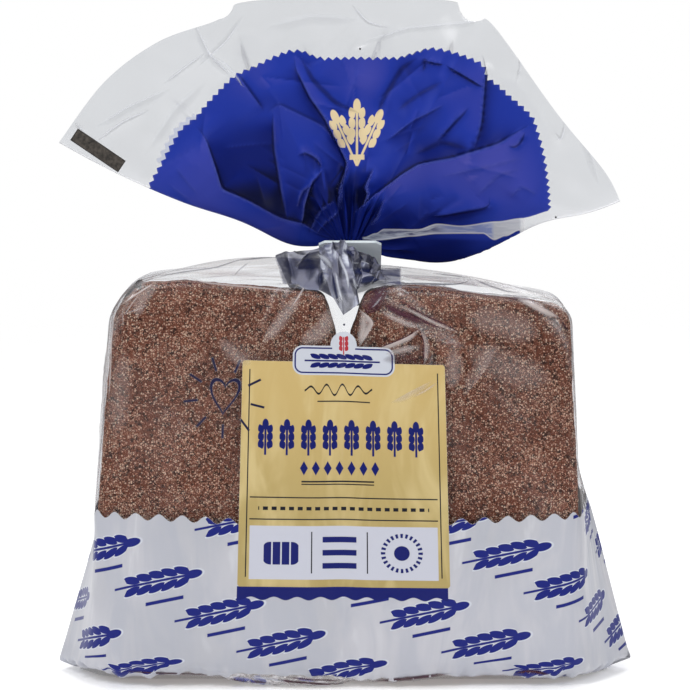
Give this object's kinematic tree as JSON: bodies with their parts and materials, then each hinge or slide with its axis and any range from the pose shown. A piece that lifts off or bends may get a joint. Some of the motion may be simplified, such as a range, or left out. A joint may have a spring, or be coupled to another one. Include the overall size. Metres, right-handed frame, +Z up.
{
  "type": "clipped bag of rye sandwich breads",
  "caption": "Clear film bag holding two stacks of flat rye sandwich breads, gathered into a neck, shut with a plastic clip and flaring into a fan above it.",
  "frame": {"origin": "on the floor, under the middle of the standing pack", "axes": "+X to the right across the broad front, +Y from the printed front towards the back, +Z up from the base to the open fan"},
  "size_m": [0.205, 0.068, 0.24],
  "materials": {
    "film_and_bread": "clear film over brown rye bread",
    "clip_plastic": "pale grey-green, satin"
  },
  "bodies": {
    "root": {"bag": "film_and_bread", "clip": "clip_plastic"}
  },
  "joints": []
}
